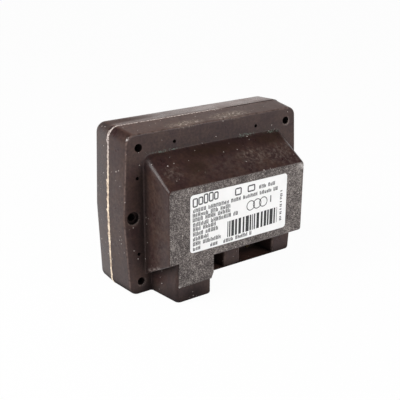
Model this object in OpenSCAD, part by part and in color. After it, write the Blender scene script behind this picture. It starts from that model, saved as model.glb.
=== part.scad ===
// Ignition transformer: a resin-filled two-pole high-tension transformer in a moulded two-part case.
// +Z is up and +Y points to the mounting face at the back.
// The origin is on the standing face, in the middle of the overall width and depth.

/* [Case] */
// Width of the case at the seam, along the top and bottom edges
case_end_w = 119.2; // [114:0.2:126]
// Width of the case at the seam, at the waist where the side holes are
case_waist_w = 122.8; // [118:0.2:130]
// Height of the case at the seam
case_h = 94.2; // [90:0.1:102]
// Depth of the front housing, from the flange face to the seam
flange_d = 17.7; // [17:0.1:21]
// Depth of the rear cover, from the seam to the mounting face
cover_d = 14.2; // [12:0.1:18]
// Draft of the front housing along the top and bottom edges, each side
front_end_draft = 1.5; // [0.8:0.1:2]
// Draft of the front housing at the waist, each side
front_waist_draft = 0.3; // [0.1:0.1:1]
// Draft of the rear cover, each side
back_draft = 0.7; // [0.2:0.1:1]
// Radius of the three case corners that have screw holes, at the seam
corner_r = 5.6; // [4.4:0.2:9]
// Radius of the lower right corner, which has no screw hole, at the seam
plain_corner_r = 2; // [1.5:0.1:4]
// Rounding round the flange face
flange_edge_r = 1; // [0.6:0.1:2]
// Rounding round the mounting face
back_edge_r = 1.8; // [1.5:0.1:4]
// Wall of both mouldings
wall = 2.5; // [2:0.1:3]
// Width of the resin line between the two mouldings
seam_t = 0.8; // [0.5:0.1:1.4]
// Height of the resin bead above the case
seam_proud = 0.25; // [0.1:0.05:0.5]

/* [Hood] */
// Depth of the hood in front of the flange
hood_d = 22.8; // [20:0.2:26]
// Width of the hood at the flange, before its fillet
hood_base_w = 96; // [92:0.5:98]
// Width of the hood at its front
hood_front_w = 93.8; // [89:0.2:95]
// Height of the roof line at the flange
roof_base_z = 80.4; // [78:0.2:81]
// Height of the roof line at the front
roof_front_z = 66.2; // [64:0.1:70]
// Height of the underside at the flange
under_base_z = 11.4; // [10.8:0.1:13]
// Height of the underside at the front
under_front_z = 23.8; // [22:0.1:26]
// Radius of the two upper long edges of the hood at the flange
hood_base_r = 5.4; // [4:0.1:9]
// Radius of the two upper long edges of the hood at the front
hood_front_r = 2.4; // [1.5:0.1:3]
// Radius of the two lower long edges of the hood
hood_low_r = 1.2; // [0.5:0.1:2.4]
// Smallest radius of the long edges on the inside
hood_inner_r = 0.5; // [0.3:0.1:1]
// Rounding round the front face
nose_r = 1; // [0.5:0.1:1.5]
// Concave fillet between the hood and the flange
root_r = 1; // [1:0.1:3]

/* [Mains leg] */
// Distance of the leg's outer side from the middle, at the flange
leg_base_x = 44.4; // [43:0.1:46]
// Distance of the leg's outer side from the middle, at its front
leg_outer_x = 42; // [41:0.1:43]
// Distance of the leg's inner side from the middle, below the step
leg_inner_x = 19.2; // [18:0.1:21]
// How far the leg widens inwards above the step
leg_step = 1.5; // [0.5:0.1:3]
// Height where the step starts
step_z = 9.7; // [7:0.1:11]
// Height of the step's slope
step_rise = 3.6; // [2:0.1:5]
// Radius of the leg's outer front edge
leg_edge_r = 2.4; // [1:0.1:3]
// Rounding round the leg's foot
leg_foot_r = 1.3; // [0.3:0.1:1.6]
// How far the grained tongue stands in front of the leg
tongue_t = 0.5; // [0.3:0.1:1]
// Distance of the tongue's outer edge from the middle
tongue_outer_x = 40.9; // [39:0.1:41]
// Wall round the mains socket
leg_wall = 2.1; // [1.6:0.1:2.4]
// Depth of the mains socket
socket_h = 13; // [11:0.1:14]
// Distance of the mains socket in front of the flange face
socket_back = 1; // [0.6:0.1:2]

/* [High-tension pockets] */
// Width of each pocket at its mouth
pocket_w = 25.5; // [20:0.1:26]
// Width of the post between the two pockets
post_w = 12.1; // [10:0.1:14]
// Distance of the middle of the post from the middle of the case
post_x = 13; // [12:0.1:14.5]
// Floor under the pockets
pocket_floor = 0.8; // [0.6:0.1:2.5]
// Height of the pockets' ceiling above the standing face
pocket_top_z = 10.6; // [9.5:0.1:10.8]
// Depth of the pockets
pocket_d = 14.5; // [13.5:0.1:15]
// How much a pocket narrows to its back, each side
pocket_draft = 1.8; // [0:0.1:2.4]
// Rounding of the upright edges at the mouths
mouth_r = 1.8; // [1:0.1:2.4]
// Wall behind and above the pockets
tub_wall = 1.8; // [1.5:0.1:2.4]

/* [Mounting holes] */
// Diameter of the screw holes
screw_d = 4.6; // [4:0.1:5.4]
// Spacing of the corner holes across the case
corner_pitch_x = 102.2; // [100:0.1:104]
// Spacing of the corner holes up the case
corner_pitch_z = 77.4; // [76:0.1:80]
// Spacing of the two side holes
side_pitch = 110.8; // [109:0.1:112]
// Diameter of the recess round each side hole
recess_d = 7.3; // [6.6:0.1:8]
// Depth of that recess
recess_h = 2; // [1:0.1:3]
// Wall of the tubes round the screw holes
boss_wall = 2.2; // [1.6:0.1:2.6]
// Diameter of the blind locating holes
dowel_d = 2; // [1.6:0.1:2.4]
// Depth of the blind locating holes
dowel_h = 4; // [2:0.1:5]
// Spacing of the two upper locating holes
dowel_top_pitch = 56.6; // [52:0.1:60]
// Spacing of the side locating holes across the case
dowel_side_pitch = 104.2; // [103:0.1:105]
// Spacing of the side locating holes up the case
dowel_rise = 44; // [40:0.1:48]

/* [Label] */
// Width of the rating label
label_w = 67.5; // [60:0.5:76]
// Height of the rating label
label_h = 33.2; // [28:0.2:37]
// Corner radius of the rating label
label_r = 2; // [0.5:0.1:3]
// Thickness of the rating label
label_t = 0.2; // [0.1:0.05:0.3]

/* [Core and coils] */
// Thickness of the lamination stack
stack_d = 18; // [16:0.5:20]
// Height of the middle limb
limb_h = 14; // [12:0.2:16]
// Height of the upper and lower limbs
return_h = 7; // [6:0.1:8]
// Width of the end yokes
yoke_w = 8; // [7:0.1:9]
// Clearance between the core and the case wall
core_clear = 0.8; // [0.6:0.1:1.2]
// Width of each secondary bobbin
secondary_w = 20; // [18:0.2:22]
// Width of each magnetic shunt
shunt_w = 4; // [3:0.1:5]
// Air gap between a shunt and the middle limb
shunt_gap = 0.6; // [0.3:0.1:1]
// Wall of the bobbins
bobbin_t = 1.2; // [0.8:0.1:1.6]
// Clearance between the bobbin cheeks and what is round them
bobbin_clear = 0.6; // [0.4:0.1:1]
// Corner radius of the bobbin cheeks
cheek_r = 8; // [7:0.2:9]
// How far the cheeks stand above the windings
cheek_proud = 1.2; // [0.8:0.1:2]
// Corner radius of the windings
winding_r = 4; // [2:0.1:4.4]

/* [Contacts and leads] */
// Diameter of the high-tension pins
pin_d = 4; // [3:0.1:4.4]
// Length of a pin inside its pocket
pin_h = 6; // [6:0.1:8]
// Bevel round the tip of a pin
pin_bevel = 0.5; // [0.2:0.1:0.8]
// Diameter of a pin where it is moulded into the pocket wall
shank_d = 4.8; // [4.5:0.1:5]
// Diameter of the shoulder behind the pocket wall
shoulder_d = 6; // [5.2:0.1:7]
// Thickness of that shoulder
shoulder_t = 1; // [0.6:0.1:1.2]
// Length of the pin's solder tail
tail_h = 1; // [0.6:0.1:1.2]
// Diameter of that tail
tail_d = 3; // [2.6:0.1:3.6]
// Width of the mains tabs
tab_w = 6.3; // [4.8:0.1:6.6]
// Thickness of the mains tabs
tab_t = 0.8; // [0.5:0.1:1]
// Free length of the mains tabs in the socket
tab_h = 8; // [6:0.1:8]
// Bevel at the corners of a tab's tip
tab_bevel = 1; // [0.4:0.1:1.4]
// Distance between the mains tabs
tab_pitch = 5.5; // [4.5:0.1:5.8]
// Width of a tab's solder tail
tab_tail_w = 2; // [1.6:0.1:3]
// Height of a tab's solder tail above the socket roof
tab_tail_h = 2; // [1:0.1:2.2]
// Diameter of the hole in each tab
tab_hole_d = 1.6; // [1:0.1:2]
// Diameter of the high-tension leads
ht_lead_d = 2; // [1.6:0.1:2.2]
// Diameter of the mains leads and earth links
lead_d = 1.6; // [1.2:0.1:1.7]
// Clearance between the mains leads
lead_clear = 0.4; // [0.3:0.05:0.5]
// Radius of the bends in the leads, to the middle of the wire
bend_r = 1.5; // [1.2:0.1:1.8]

/* [Hidden] */

// Steps in each quarter of a rounded corner, and in each rounded edge
corner_steps = 8;
edge_steps = 3;
// Sides of a wire
wire_sides = 12;
// Facets of the true cylinders
$fn = 48;
// How far a cut runs past the face that it opens
over = 1;

// Planes from front to back
depth = label_t + hood_d + flange_d + cover_d;
back_y = depth / 2;
seam_y = back_y - cover_d;
flange_y = seam_y - flange_d;
hood_y = flange_y - hood_d;
leg_y = hood_y + tongue_t;

// Slopes of the hood
roof_slope = atan((roof_base_z - roof_front_z) / hood_d);
under_slope = atan((under_front_z - under_base_z) / hood_d);

// Places of the holes: the lower right corner has none
mid_z = (case_h - front_end_draft) / 2;
top_hole_z = mid_z + corner_pitch_z / 2;
corner_holes = [[-1, 1], [1, 1], [-1, -1]];
boss_r = screw_d / 2 + boss_wall;
dowels = concat(
    [for (s = [-1, 1]) [s * dowel_top_pitch / 2, top_hole_z]],
    [for (s = [-1, 1], u = [-1, 1]) [s * dowel_side_pitch / 2, mid_z + u * dowel_rise / 2]]);

// Pockets, from left to right
pocket_x = [for (s = [-1, 1]) post_x + s * (post_w + pocket_w) / 2];
pocket_back_y = flange_y + pocket_d;
tub_back_y = pocket_back_y + tub_wall;
pin_z = (pocket_floor + pocket_top_z) / 2;

// Mains socket
socket_x = [-leg_outer_x + leg_wall, -leg_inner_x - leg_wall];
socket_y = [leg_y + leg_wall, flange_y - socket_back];
socket_mid = [(socket_x[0] + socket_x[1]) / 2, (socket_y[0] + socket_y[1]) / 2];
tab_tip_z = socket_h - tab_h;
tab_end_z = socket_h + wall + tab_tail_h;

// Core, set in the middle of the inner depth
core_y = (hood_y + back_y) / 2;
core_front_y = core_y - stack_d / 2;
core_z = (roof_base_z + under_base_z) / 2;
core_half_h = min(roof_in(core_front_y) - core_z, core_z - under_in(core_front_y)) - core_clear;
core_half_w = hood_half(core_front_y) - wall - core_clear;
window_h = core_half_h - return_h - limb_h / 2;
window_half_w = core_half_w - yoke_w;

// Coils along the middle limb
primary_w = 2 * (window_half_w - secondary_w - shunt_w);
secondary_x = window_half_w - secondary_w / 2;
shunt_x = primary_w / 2 + shunt_w / 2;
tube_half = [stack_d / 2 + bobbin_t, limb_h / 2 + bobbin_t];
cheek_half = [(back_y - hood_y) / 2 - wall - bobbin_clear, limb_h / 2 + window_h - bobbin_clear];
winding_half = [for (half = cheek_half) half - cheek_proud];

// Leads
pin_end_y = tub_back_y + shoulder_t + tail_h;
ht_lead_y = pin_end_y + bend_r + ht_lead_d / 4;
lead_y = socket_mid[1];
low_run_z = under_in(lead_y) + lead_clear + lead_d / 2;
high_run_z = low_run_z + lead_d + lead_clear;
winding_bottom_z = core_z - winding_half[1];

// Sizes of the hood at a plane y
function hood_share(y) = max(0, (flange_y - y) / hood_d);
function hood_half(y) = (hood_base_w + (hood_front_w - hood_base_w) * hood_share(y)) / 2;
function hood_r(y) = hood_base_r + (hood_front_r - hood_base_r) * hood_share(y);
function roof_z(y) = roof_base_z + (roof_front_z - roof_base_z) * hood_share(y);
function under_z(y) = under_base_z + (under_front_z - under_base_z) * hood_share(y);
function roof_in(y) = roof_z(y) - wall / cos(roof_slope);
function under_in(y) = under_z(y) + wall / cos(under_slope);

// One quarter of a circle, from angle a to 90 degrees
function quarter(centre, r, a) = [
    for (k = [0:corner_steps])
        let (turn = a + (90 - a) * k / corner_steps)
        centre + r * [cos(turn), sin(turn)]
];

// An upper quarter with its mirror image, then a lower left and a lower right one, counter-clockwise
function four_fold(up, low_left, low_right, waist) = concat(
    waist == 0 ? [] : [[waist, 0]],
    up,
    [for (k = [corner_steps:-1:0]) [-up[k][0], up[k][1]]],
    waist == 0 ? [] : [[-waist, 0]],
    [for (p = low_left) -p],
    [for (k = [corner_steps:-1:0]) [low_right[k][0], -low_right[k][1]]]);

// Corner of radius r where a leaning side of the case meets its top or bottom edge
function case_corner(reach, high, lean, r) =
    quarter([(reach - r - sin(lean) * (high - r)) / cos(lean), high - r], r, lean);

// Case outline at a plane y: two straight sides that meet at the waist, and round corners
function case_ring(y, end_w, waist_w, h, inset) =
    let (
        lean = atan((waist_w - end_w) / h),
        reach = cos(lean) * waist_w / 2 - inset,
        high = h / 2 - inset,
        q = case_corner(reach, high, lean, corner_r - inset),
        plain = case_corner(reach, high, lean, max(plain_corner_r - inset, hood_inner_r)),
        ring = four_fold(q, q, plain, reach / cos(lean)))
    [for (p = ring) [p[0], y, max(p[1] + h / 2, 0)]];

function seam_ring(y, inset) = case_ring(y, case_end_w, case_waist_w, case_h, inset);
function front_ring(y, inset) =
    case_ring(y, case_end_w - 2 * front_end_draft, case_waist_w - 2 * front_waist_draft,
        case_h - front_end_draft, inset);
function back_ring(y, inset) =
    case_ring(y, case_end_w - 2 * back_draft, case_waist_w - 2 * back_draft, case_h - back_draft, inset);

// Upright rectangle at a plane y, with round corners of one radius above and one below
function box_ring(y, half_w, low, high, top_r, low_r) =
    let (
        half_h = (high - low) / 2,
        up = quarter([half_w - top_r, half_h - top_r], top_r, 0),
        down = quarter([half_w - low_r, half_h - low_r], low_r, 0))
    [for (p = four_fold(up, down, down, 0)) [p[0], y, p[1] + (high + low) / 2]];

// Hood outline at a plane y, grown by the root fillet or drawn in by the nose rounding
function hood_ring(y, grow, inset) =
    box_ring(y,
        hood_half(y) + grow - inset,
        under_z(y) - grow * tan((90 - under_slope) / 2) + inset,
        roof_z(y) + grow * tan((90 - roof_slope) / 2) - inset,
        hood_r(y), hood_low_r);

// Inside of the hood at a plane y, with tighter corners that leave room for the core
function hood_hollow_ring(y) =
    let (r = max(hood_r(y) - 2 * wall, hood_inner_r))
    box_ring(y, hood_half(y) - wall, under_in(y), roof_in(y), r, r);

// Leg outline at a height z, counter-clockwise from above
function leg_ring(z, inner_x, inset) =
    let (
        front = leg_y + inset,
        outer = -leg_outer_x + inset,
        inner = inner_x - inset,
        r = leg_edge_r)
    [for (p = concat(
        [[inner, flange_y + wall / 2], [-leg_base_x - root_r / 2, flange_y + wall / 2]],
        [for (k = [0:edge_steps])
            let (turn = 90 * k / edge_steps)
            [-leg_base_x - root_r / 2 * (1 - sin(turn)) + inset, flange_y - root_r / 2 * (1 - cos(turn))]],
        [for (k = [0:edge_steps])
            let (turn = 180 + 90 * k / edge_steps)
            [outer + r + r * cos(turn), front + r + r * sin(turn)]],
        [for (k = [0:edge_steps])
            let (turn = 270 + 90 * k / edge_steps)
            [inner - leg_foot_r + leg_foot_r * cos(turn), front + leg_foot_r + leg_foot_r * sin(turn)]]))
        [p[0], p[1], z]];

// Vectors along and across a wire
function unit(v) = v / norm(v);
function spin(v, axis, turn) =
    v * cos(turn) + cross(axis, v) * sin(turn) + axis * (axis * v) * (1 - cos(turn));

// Outline of a wire at p, square to its way, from the direction side
function wire_ring(p, way, side, d) = [
    for (k = [0:wire_sides - 1])
        let (turn = 360 * k / wire_sides)
        p + d / 2 * (cos(turn) * side + sin(turn) * cross(way, side))
];

// Outlines through the bends at points i and on
function wire_bends(points, i, side, d) =
    i == len(points) - 1 ? [] :
    let (
        into = unit(points[i] - points[i - 1]),
        out = unit(points[i + 1] - points[i]),
        axis = cross(into, out),
        centre = points[i] + bend_r * (out - into))
    concat(
        [for (k = [0:edge_steps])
            let (turn = 90 * k / edge_steps)
            wire_ring(centre - bend_r * spin(out, axis, turn), spin(into, axis, turn),
                spin(side, axis, turn), d)],
        wire_bends(points, i + 1, spin(side, axis, 90), d));

// Solid through a row of rings that run counter-clockwise as seen from the last ring's side
module loft(rings) {
    n = len(rings[0]);
    last = (len(rings) - 1) * n;
    polyhedron(
        points = [for (ring = rings) each ring],
        faces = concat(
            [[for (j = [0:n - 1]) j]],
            [[for (j = [n - 1:-1:0]) last + j]],
            [for (i = [0:len(rings) - 2], j = [0:n - 1])
                let (a = i * n + j, b = i * n + (j + 1) % n)
                each [[a, a + n, b + n], [a, b + n, b]]]));
}

// A flat outline in X and Z, thickened from plane y0 back to plane y1
module along_y(y0, y1) {
    translate([0, y1, 0])
        rotate([90, 0, 0])
            linear_extrude(y1 - y0)
                children();
}

// A flat outline in Y and Z, thickened from x0 to x1
module along_x(x0, x1) {
    translate([x0, 0, 0])
        rotate([90, 0, 90])
            linear_extrude(x1 - x0)
                children();
}

// Rectangle with round corners about the origin
module round_rect(w, h, r) {
    square([w - 2 * r, h], center = true);
    square([w, h - 2 * r], center = true);
    for (x = [-1, 1], y = [-1, 1])
        translate([x * (w / 2 - r), y * (h / 2 - r)])
            circle(r);
}

// Round wire along straight runs at right angles, with a bend at each corner and flat ends
module wire(points, d) {
    last = len(points) - 1;
    bends = wire_bends(points, 1, [1, 0, 0], d);
    to_start = points[0] - points[1] + bend_r * unit(points[1] - points[0]);
    to_end = points[last] - points[last - 1] - bend_r * unit(points[last] - points[last - 1]);
    loft(concat(
        [[for (p = bends[0]) p + to_start]],
        bends,
        [[for (p = bends[len(bends) - 1]) p + to_end]]));
}

// Outside of the front housing
module flange_block() {
    loft(concat(
        [seam_ring(seam_y - seam_t / 2, 0)],
        [for (k = [0:edge_steps])
            let (turn = 90 * k / edge_steps)
            front_ring(flange_y + flange_edge_r * (1 - sin(turn)), flange_edge_r * (1 - cos(turn)))]));
}

module hood_block() {
    loft(concat(
        [hood_ring(flange_y + wall / 2, root_r, 0)],
        [for (k = [0:edge_steps])
            let (turn = 90 * k / edge_steps)
            hood_ring(flange_y - root_r * (1 - cos(turn)), root_r * (1 - sin(turn)), 0)],
        [for (k = [0:edge_steps])
            let (turn = 90 * k / edge_steps)
            hood_ring(hood_y + nose_r * (1 - sin(turn)), 0, nose_r * (1 - cos(turn)))]));
}

module leg_block() {
    loft(concat(
        [for (k = [0:edge_steps])
            let (turn = 90 * k / edge_steps)
            leg_ring(leg_foot_r * (1 - cos(turn)), -leg_inner_x, leg_foot_r * (1 - sin(turn)))],
        [leg_ring(step_z, -leg_inner_x, 0)],
        [leg_ring(step_z + step_rise, -leg_inner_x + leg_step, 0)],
        [leg_ring(under_front_z + 2 * nose_r, -leg_inner_x + leg_step, 0)]));
}

// Grained tongue that carries the front face down over the leg
module tongue() {
    inner = -leg_inner_x + leg_step;
    top = under_front_z + 2 * nose_r;
    along_y(hood_y, leg_y + wall / 2)
        polygon([
            [-tongue_outer_x, step_z],
            [-leg_inner_x, step_z],
            [inner, step_z + step_rise],
            [inner, top],
            [-tongue_outer_x, top]
        ]);
}

// Plan of one pocket, with rounded upright edges at its mouth
module pocket_plan(x) {
    half = pocket_w / 2;
    translate([x, flange_y]) {
        polygon([
            [-half, -over],
            [half, -over],
            [half, mouth_r],
            [half - pocket_draft, pocket_d],
            [-half + pocket_draft, pocket_d],
            [-half, mouth_r]
        ]);
        difference() {
            translate([-half - mouth_r, -over])
                square([pocket_w + 2 * mouth_r, over + mouth_r]);
            for (s = [-1, 1])
                translate([s * (half + mouth_r), mouth_r])
                    circle(mouth_r);
        }
    }
}

module pockets() {
    for (x = pocket_x)
        translate([0, 0, pocket_floor])
            linear_extrude(pocket_top_z - pocket_floor)
                pocket_plan(x);
}

module mains_socket() {
    translate([socket_x[0], socket_y[0], -over])
        cube([socket_x[1] - socket_x[0], socket_y[1] - socket_y[0], socket_h + over]);
}

// What the mouldings keep of the inner space: screw blocks, dowel posts and the tub of the pockets
module inner_walls() {
    reach = case_waist_w / 2;
    along_y(flange_y, back_y) {
        for (hole = corner_holes)
            translate([hole[0] * corner_pitch_x / 2, mid_z + hole[1] * corner_pitch_z / 2]) {
                circle(boss_r);
                translate([hole[0] > 0 ? 0 : -reach, -boss_r])
                    square([reach, 2 * boss_r]);
                translate([-boss_r, hole[1] > 0 ? 0 : -reach])
                    square([2 * boss_r, reach]);
                translate([hole[0] > 0 ? 0 : -reach, hole[1] > 0 ? 0 : -reach])
                    square(reach);
            }
        for (s = [-1, 1])
            translate([s * side_pitch / 2, mid_z]) {
                circle(boss_r);
                translate([s > 0 ? 0 : -reach, -boss_r])
                    square([reach, 2 * boss_r]);
            }
    }
    along_y(flange_y, flange_y + dowel_h + wall / 2)
        for (p = dowels)
            translate(p)
                circle(dowel_d / 2 + wall / 2);
    translate([pocket_x[0] - pocket_w / 2 - tub_wall, flange_y, 0])
        cube([
            pocket_x[1] - pocket_x[0] + pocket_w + 2 * tub_wall,
            pocket_d + tub_wall,
            pocket_top_z + tub_wall
        ]);
}

// Inner space of the closed case, which the resin fills round the core and coils
module inner_space() {
    difference() {
        union() {
            loft([
                back_ring(back_y - wall, wall),
                seam_ring(seam_y, wall),
                front_ring(flange_y + wall, wall)
            ]);
            loft([
                hood_hollow_ring(flange_y + 2 * wall),
                hood_hollow_ring(flange_y),
                hood_hollow_ring(hood_y + wall)
            ]);
            translate([socket_x[0], socket_y[0] + wall / 2, socket_h + wall])
                cube([
                    socket_x[1] - socket_x[0],
                    socket_y[1] - socket_y[0] - wall / 2,
                    under_front_z + wall - socket_h
                ]);
        }
        inner_walls();
    }
}

module screw_holes() {
    along_y(flange_y - over, back_y + over) {
        for (hole = corner_holes)
            translate([hole[0] * corner_pitch_x / 2, mid_z + hole[1] * corner_pitch_z / 2])
                circle(d = screw_d);
        for (s = [-1, 1])
            translate([s * side_pitch / 2, mid_z])
                circle(d = screw_d);
    }
}

module front_housing() {
    color("#463b3a")
        difference() {
            union() {
                difference() {
                    union() {
                        flange_block();
                        hood_block();
                    }
                    pockets();
                }
                leg_block();
                tongue();
            }
            inner_space();
            mains_socket();
            screw_holes();
            along_y(flange_y - over, flange_y + recess_h)
                for (s = [-1, 1])
                    translate([s * side_pitch / 2, mid_z])
                        circle(d = recess_d);
            along_y(flange_y - over, flange_y + dowel_h)
                for (p = dowels)
                    translate(p)
                        circle(d = dowel_d);
            for (i = [0, 1])
                ht_pin(i);
            for (i = [0:2])
                mains_tab(i);
        }
}

module rear_cover() {
    color("#6c6864")
        difference() {
            loft(concat(
                [for (k = [edge_steps:-1:0])
                    let (turn = 90 * k / edge_steps)
                    back_ring(back_y - back_edge_r * (1 - sin(turn)), back_edge_r * (1 - cos(turn)))],
                [seam_ring(seam_y + seam_t / 2, 0)]));
            inner_space();
            screw_holes();
        }
}

// Cured resin that fills the joint between the two mouldings and stands a little proud
module seam_resin() {
    color("#d8c3a4")
        difference() {
            loft([for (s = [1, -1]) seam_ring(seam_y + s * seam_t / 2, -seam_proud)]);
            inner_space();
            screw_holes();
        }
}

module rating_label() {
    color("#f0eeec")
        along_y(hood_y - label_t, hood_y)
            translate([0, (roof_front_z + under_front_z) / 2])
                round_rect(label_w, label_h, label_r);
}

// Closed frame of the core with its two windows, and the part of it left of x
module core_frame(x) {
    along_y(core_front_y, core_front_y + stack_d)
        translate([0, core_z])
            difference() {
                translate([-core_half_w, -core_half_h])
                    square([core_half_w + x, 2 * core_half_h]);
                for (s = [-1, 1])
                    translate([-window_half_w, s * (limb_h + window_h) / 2 - window_h / 2])
                        square([2 * window_half_w, window_h]);
            }
}

// Middle, upper and lower limbs with the left yoke, stacked from E plates
module core_e_stack() {
    color("#5a5c60")
        core_frame(window_half_w);
}

// Bar of I plates that closes the core on the right
module core_yoke() {
    color("#66686c")
        translate([window_half_w, core_front_y, core_z - core_half_h])
            cube([yoke_w, stack_d, 2 * core_half_h]);
}

// Plates between the primary and a secondary that let some of the flux pass it by
module shunt(side, up) {
    low = limb_h / 2 + shunt_gap;
    high = limb_h / 2 + window_h;
    color("#74767a")
        translate([side * shunt_x - shunt_w / 2, core_front_y, core_z + (up > 0 ? low : -high)])
            cube([shunt_w, stack_d, high - low]);
}

// Tube with two cheeks on the middle limb, from x0 to x1
module bobbin(x0, x1) {
    color("#d9d2c0")
        translate([0, core_y, core_z]) {
            along_x(x0, x1)
                difference() {
                    square(2 * tube_half, center = true);
                    square([stack_d, limb_h], center = true);
                }
            for (x = [x0, x1 - bobbin_t])
                along_x(x, x + bobbin_t)
                    difference() {
                        round_rect(2 * cheek_half[0], 2 * cheek_half[1], cheek_r);
                        square([stack_d, limb_h], center = true);
                    }
        }
}

// Enamelled wire between the cheeks of a bobbin
module winding(x0, x1) {
    color("#a9683c")
        translate([0, core_y, core_z])
            along_x(x0 + bobbin_t, x1 - bobbin_t)
                difference() {
                    round_rect(2 * winding_half[0], 2 * winding_half[1], winding_r);
                    square(2 * tube_half, center = true);
                }
}

// Space that a bobbin and its winding take up, with the limb inside them
module coil_space(x0, x1) {
    translate([0, core_y, core_z]) {
        for (x = [x0, x1 - bobbin_t])
            along_x(x, x + bobbin_t)
                round_rect(2 * cheek_half[0], 2 * cheek_half[1], cheek_r);
        along_x(x0 + bobbin_t / 2, x1 - bobbin_t / 2)
            round_rect(2 * winding_half[0], 2 * winding_half[1], winding_r);
    }
}

module primary_bobbin() bobbin(-primary_w / 2, primary_w / 2);
module primary_winding() winding(-primary_w / 2, primary_w / 2);
module secondary_bobbin(s) bobbin(s * secondary_x - secondary_w / 2, s * secondary_x + secondary_w / 2);
module secondary_winding(s) winding(s * secondary_x - secondary_w / 2, s * secondary_x + secondary_w / 2);

// Turned pin, moulded into the wall at the back of a pocket
module ht_pin(i) {
    color("#c9a227")
        translate([pocket_x[i], pocket_back_y, pin_z])
            rotate([90, 0, 0])
                rotate_extrude()
                    polygon([
                        [0, -tub_wall - shoulder_t - tail_h],
                        [tail_d / 2, -tub_wall - shoulder_t - tail_h],
                        [tail_d / 2, -tub_wall - shoulder_t],
                        [shoulder_d / 2, -tub_wall - shoulder_t],
                        [shoulder_d / 2, -tub_wall],
                        [shank_d / 2, -tub_wall],
                        [shank_d / 2, 0],
                        [pin_d / 2, 0],
                        [pin_d / 2, pin_h - pin_bevel],
                        [pin_d / 2 - pin_bevel, pin_h],
                        [0, pin_h]
                    ]);
}

// Lead from a pin, behind the core, up to the secondary winding above it
module ht_lead(i) {
    coil_x = (2 * i - 1) * secondary_x;
    color("#b03a2e")
        wire([
            [pocket_x[i], pin_end_y, pin_z],
            [pocket_x[i], ht_lead_y, pin_z],
            [coil_x, ht_lead_y, pin_z],
            [coil_x, ht_lead_y, winding_bottom_z]
        ], ht_lead_d);
}

// Earthed end of a secondary, joined to the upper limb
module earth_link(s) {
    low = core_z + winding_half[1];
    color("#c8793f")
        translate([s * secondary_x, core_y, low])
            cylinder(h = core_z + limb_h / 2 + window_h - low, d = lead_d);
}

// Flat blade that hangs in the mains socket, with a solder tail in the resin above
module mains_tab(i) {
    color("#c9a227")
        along_x(tab_x(i) - tab_t / 2, tab_x(i) + tab_t / 2)
            translate([lead_y, 0])
                difference() {
                    union() {
                        polygon([
                            [-tab_w / 2 + tab_bevel, tab_tip_z],
                            [tab_w / 2 - tab_bevel, tab_tip_z],
                            [tab_w / 2, tab_tip_z + tab_bevel],
                            [tab_w / 2, socket_h + wall],
                            [-tab_w / 2, socket_h + wall],
                            [-tab_w / 2, tab_tip_z + tab_bevel]
                        ]);
                        translate([-tab_tail_w / 2, socket_h])
                            square([tab_tail_w, tab_end_z - socket_h]);
                    }
                    translate([0, tab_tip_z + tab_h / 2])
                        circle(d = tab_hole_d);
                }
}

function tab_x(i) = socket_mid[0] + (i - 1) * tab_pitch;

// Lead from a mains tab, under the left secondary, to the primary winding
module mains_lead(i, run_z, coil_x) {
    color("#3b6ea5")
        wire([
            [tab_x(i), lead_y, tab_end_z],
            [tab_x(i), lead_y, run_z],
            [coil_x, lead_y, run_z],
            [coil_x, lead_y, winding_bottom_z]
        ], lead_d);
}

// Lead from the earth tab to the lower limb of the core
module earth_lead() {
    color("#5f9e3f")
        wire([
            [tab_x(1), lead_y, tab_end_z],
            [tab_x(1), lead_y, low_run_z],
            [tab_x(1), core_front_y, low_run_z]
        ], lead_d);
}

// Everything that the resin sets round
module set_in_resin() {
    core_frame(core_half_w);
    coil_space(-primary_w / 2, primary_w / 2);
    for (s = [-1, 1]) {
        for (up = [-1, 1])
            shunt(s, up);
        coil_space(s * secondary_x - secondary_w / 2, s * secondary_x + secondary_w / 2);
        earth_link(s);
    }
    for (i = [0, 1]) {
        ht_pin(i);
        ht_lead(i);
    }
    for (i = [0:2])
        mains_tab(i);
    mains_lead(0, high_run_z, -primary_w / 4);
    earth_lead();
    mains_lead(2, low_run_z, primary_w / 4);
}

module potting_compound() {
    color("#8a6f4d")
        difference() {
            inner_space();
            set_in_resin();
        }
}

front_housing();
rear_cover();
seam_resin();
rating_label();
potting_compound();
core_e_stack();
core_yoke();
shunt(-1, 1);  // shunt_upper_left
shunt(1, 1);  // shunt_upper_right
shunt(-1, -1);  // shunt_lower_left
shunt(1, -1);  // shunt_lower_right
primary_bobbin();
primary_winding();
secondary_bobbin(-1);  // secondary_bobbin_left
secondary_bobbin(1);  // secondary_bobbin_right
secondary_winding(-1);  // secondary_winding_left
secondary_winding(1);  // secondary_winding_right
ht_pin(0);  // ht_pin_left
ht_pin(1);  // ht_pin_right
ht_lead(0);  // ht_lead_left
ht_lead(1);  // ht_lead_right
earth_link(-1);  // earth_link_left
earth_link(1);  // earth_link_right
mains_tab(0);  // line_tab
mains_tab(1);  // earth_tab
mains_tab(2);  // neutral_tab
mains_lead(0, high_run_z, -primary_w / 4);  // line_lead
earth_lead();
mains_lead(2, low_run_z, primary_w / 4);  // neutral_lead
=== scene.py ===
# %% [markdown]
# # An ignition transformer in a moulded case
# The part is a block of cast resin with a core and three coils inside, in a case of two dark mouldings.
# The solids come from the CAD model, and this script gives them their finish. What a solid can't carry is
# built here as a piece of its own: the printed label and the ragged bead of resin in the seam.

# %% Load the frame and keep its box
import math
import random

import bmesh
import bpy
from mathutils import Matrix, Vector, geometry, noise
from mathutils.bvhtree import BVHTree


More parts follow.
